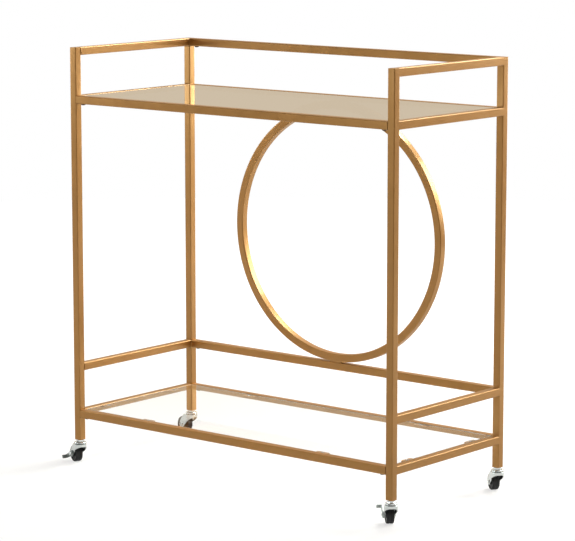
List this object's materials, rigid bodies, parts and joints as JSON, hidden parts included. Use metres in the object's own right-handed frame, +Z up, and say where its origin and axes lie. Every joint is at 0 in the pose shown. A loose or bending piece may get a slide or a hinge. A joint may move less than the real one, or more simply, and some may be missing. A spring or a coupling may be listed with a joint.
{
  "type": "bar cart",
  "caption": "Open bar cart of square metal tube with glass shelves, hand rails, a gallery rail, a large ring in the back, and swivel casters with side brakes at the front.",
  "frame": {"origin": "on the floor, under the middle of the cart as seen from above, casters included; the middle of the four posts is 17.8 mm from it towards +X and 6.4 mm towards -Y", "axes": "+X along the length to the right as seen from the open front, +Y to the back, +Z up"},
  "size_m": [0.8102, 0.3584, 0.8],
  "materials": {
    "bronze_paint": "satin antique gold powder coat",
    "clear_glass": "clear tempered glass with ground edges",
    "chrome": "bright chrome plate",
    "dark_lever": "dark zinc plate, satin",
    "dark_screws": "blackened zinc plate",
    "black_wheel": "fine-grained moulded polypropylene",
    "black_nylon": "moulded nylon"
  },
  "bodies": {
    "cart_frame": {"post_front_left": "bronze_paint", "post_front_right": "bronze_paint", "post_back_left": "bronze_paint", "post_back_right": "bronze_paint", "hand_rail_back": "bronze_paint", "screw_hand_rail_back_left": "dark_screws", "screw_hand_rail_back_right": "dark_screws", "upper_shelf_rail_front": "bronze_paint", "screw_upper_shelf_rail_front_left": "dark_screws", "screw_upper_shelf_rail_front_right": "dark_screws", "upper_shelf_rail_back": "bronze_paint", "screw_upper_shelf_rail_back_left": "dark_screws", "screw_upper_shelf_rail_back_right": "dark_screws", "gallery_rail_back": "bronze_paint", "screw_gallery_rail_back_left": "dark_screws", "screw_gallery_rail_back_right": "dark_screws", "lower_shelf_rail_front": "bronze_paint", "screw_lower_shelf_rail_front_left": "dark_screws", "screw_lower_shelf_rail_front_right": "dark_screws", "lower_shelf_rail_back": "bronze_paint", "screw_lower_shelf_rail_back_left": "dark_screws", "screw_lower_shelf_rail_back_right": "dark_screws", "hand_rail_left": "bronze_paint", "hand_rail_right": "bronze_paint", "upper_shelf_rail_left": "bronze_paint", "upper_shelf_rail_right": "bronze_paint", "gallery_rail_left": "bronze_paint", "gallery_rail_right": "bronze_paint", "lower_shelf_rail_left": "bronze_paint", "lower_shelf_rail_right": "bronze_paint", "back_ring": "bronze_paint", "upper_glass_shelf": "clear_glass", "lower_glass_shelf": "clear_glass", "post_plug_front_left": "black_nylon", "caster_stem_front_left": "chrome", "post_plug_front_right": "black_nylon", "caster_stem_front_right": "chrome", "post_plug_back_left": "black_nylon", "caster_stem_back_left": "chrome", "post_plug_back_right": "black_nylon", "caster_stem_back_right": "chrome"},
    "swivel_front_left": {"caster_fork_front_left": "chrome", "caster_axle_front_left": "chrome"},
    "wheel_front_left": {"caster_wheel_front_left": "black_wheel"},
    "brake_front_left": {"brake_lever_front_left": "dark_lever"},
    "swivel_front_right": {"caster_fork_front_right": "chrome", "caster_axle_front_right": "chrome"},
    "wheel_front_right": {"caster_wheel_front_right": "black_wheel"},
    "brake_front_right": {"brake_lever_front_right": "dark_lever"},
    "swivel_back_left": {"caster_fork_back_left": "chrome", "caster_axle_back_left": "chrome"},
    "wheel_back_left": {"caster_wheel_back_left": "black_wheel"},
    "swivel_back_right": {"caster_fork_back_right": "chrome", "caster_axle_back_right": "chrome"},
    "wheel_back_right": {"caster_wheel_back_right": "black_wheel"}
  },
  "joints": [
    {"name": "swivel_front_left", "type": "hinge", "parent": "cart_frame", "child": "swivel_front_left", "pos_m": [-0.3577, -0.1674, 0.0362], "axis": [0, 0, 1], "continuous": true},
    {"name": "wheel_spin_front_left", "type": "hinge", "parent": "swivel_front_left", "child": "wheel_front_left", "pos_m": [-0.37525, -0.16013, 0.016], "axis": [-0.3827, -0.9239, 0], "continuous": true},
    {"name": "brake_front_left", "type": "hinge", "parent": "swivel_front_left", "child": "brake_front_left", "pos_m": [-0.37525, -0.16013, 0.016], "axis": [0.3827, 0.9239, 0], "range_deg": [0, 48]},
    {"name": "swivel_front_right", "type": "hinge", "parent": "cart_frame", "child": "swivel_front_right", "pos_m": [0.3933, -0.1674, 0.0362], "axis": [0, 0, 1], "continuous": true},
    {"name": "wheel_spin_front_right", "type": "hinge", "parent": "swivel_front_right", "child": "wheel_front_right", "pos_m": [0.37975, -0.15408, 0.016], "axis": [-0.7009, -0.7133, 0], "continuous": true},
    {"name": "brake_front_right", "type": "hinge", "parent": "swivel_front_right", "child": "brake_front_right", "pos_m": [0.37975, -0.15408, 0.016], "axis": [0.7009, 0.7133, 0], "range_deg": [-48, 0]},
    {"name": "swivel_back_left", "type": "hinge", "parent": "cart_frame", "child": "swivel_back_left", "pos_m": [-0.3577, 0.1546, 0.0362], "axis": [0, 0, 1], "continuous": true},
    {"name": "wheel_spin_back_left", "type": "hinge", "parent": "swivel_back_left", "child": "wheel_back_left", "pos_m": [-0.37661, 0.15642, 0.016], "axis": [-0.0958, -0.9954, 0], "continuous": true},
    {"name": "swivel_back_right", "type": "hinge", "parent": "cart_frame", "child": "swivel_back_right", "pos_m": [0.3933, 0.1546, 0.0362], "axis": [0, 0, 1], "continuous": true},
    {"name": "wheel_spin_back_right", "type": "hinge", "parent": "swivel_back_right", "child": "wheel_back_right", "pos_m": [0.37764, 0.16536, 0.016], "axis": [-0.5664, -0.8241, 0], "continuous": true}
  ]
}
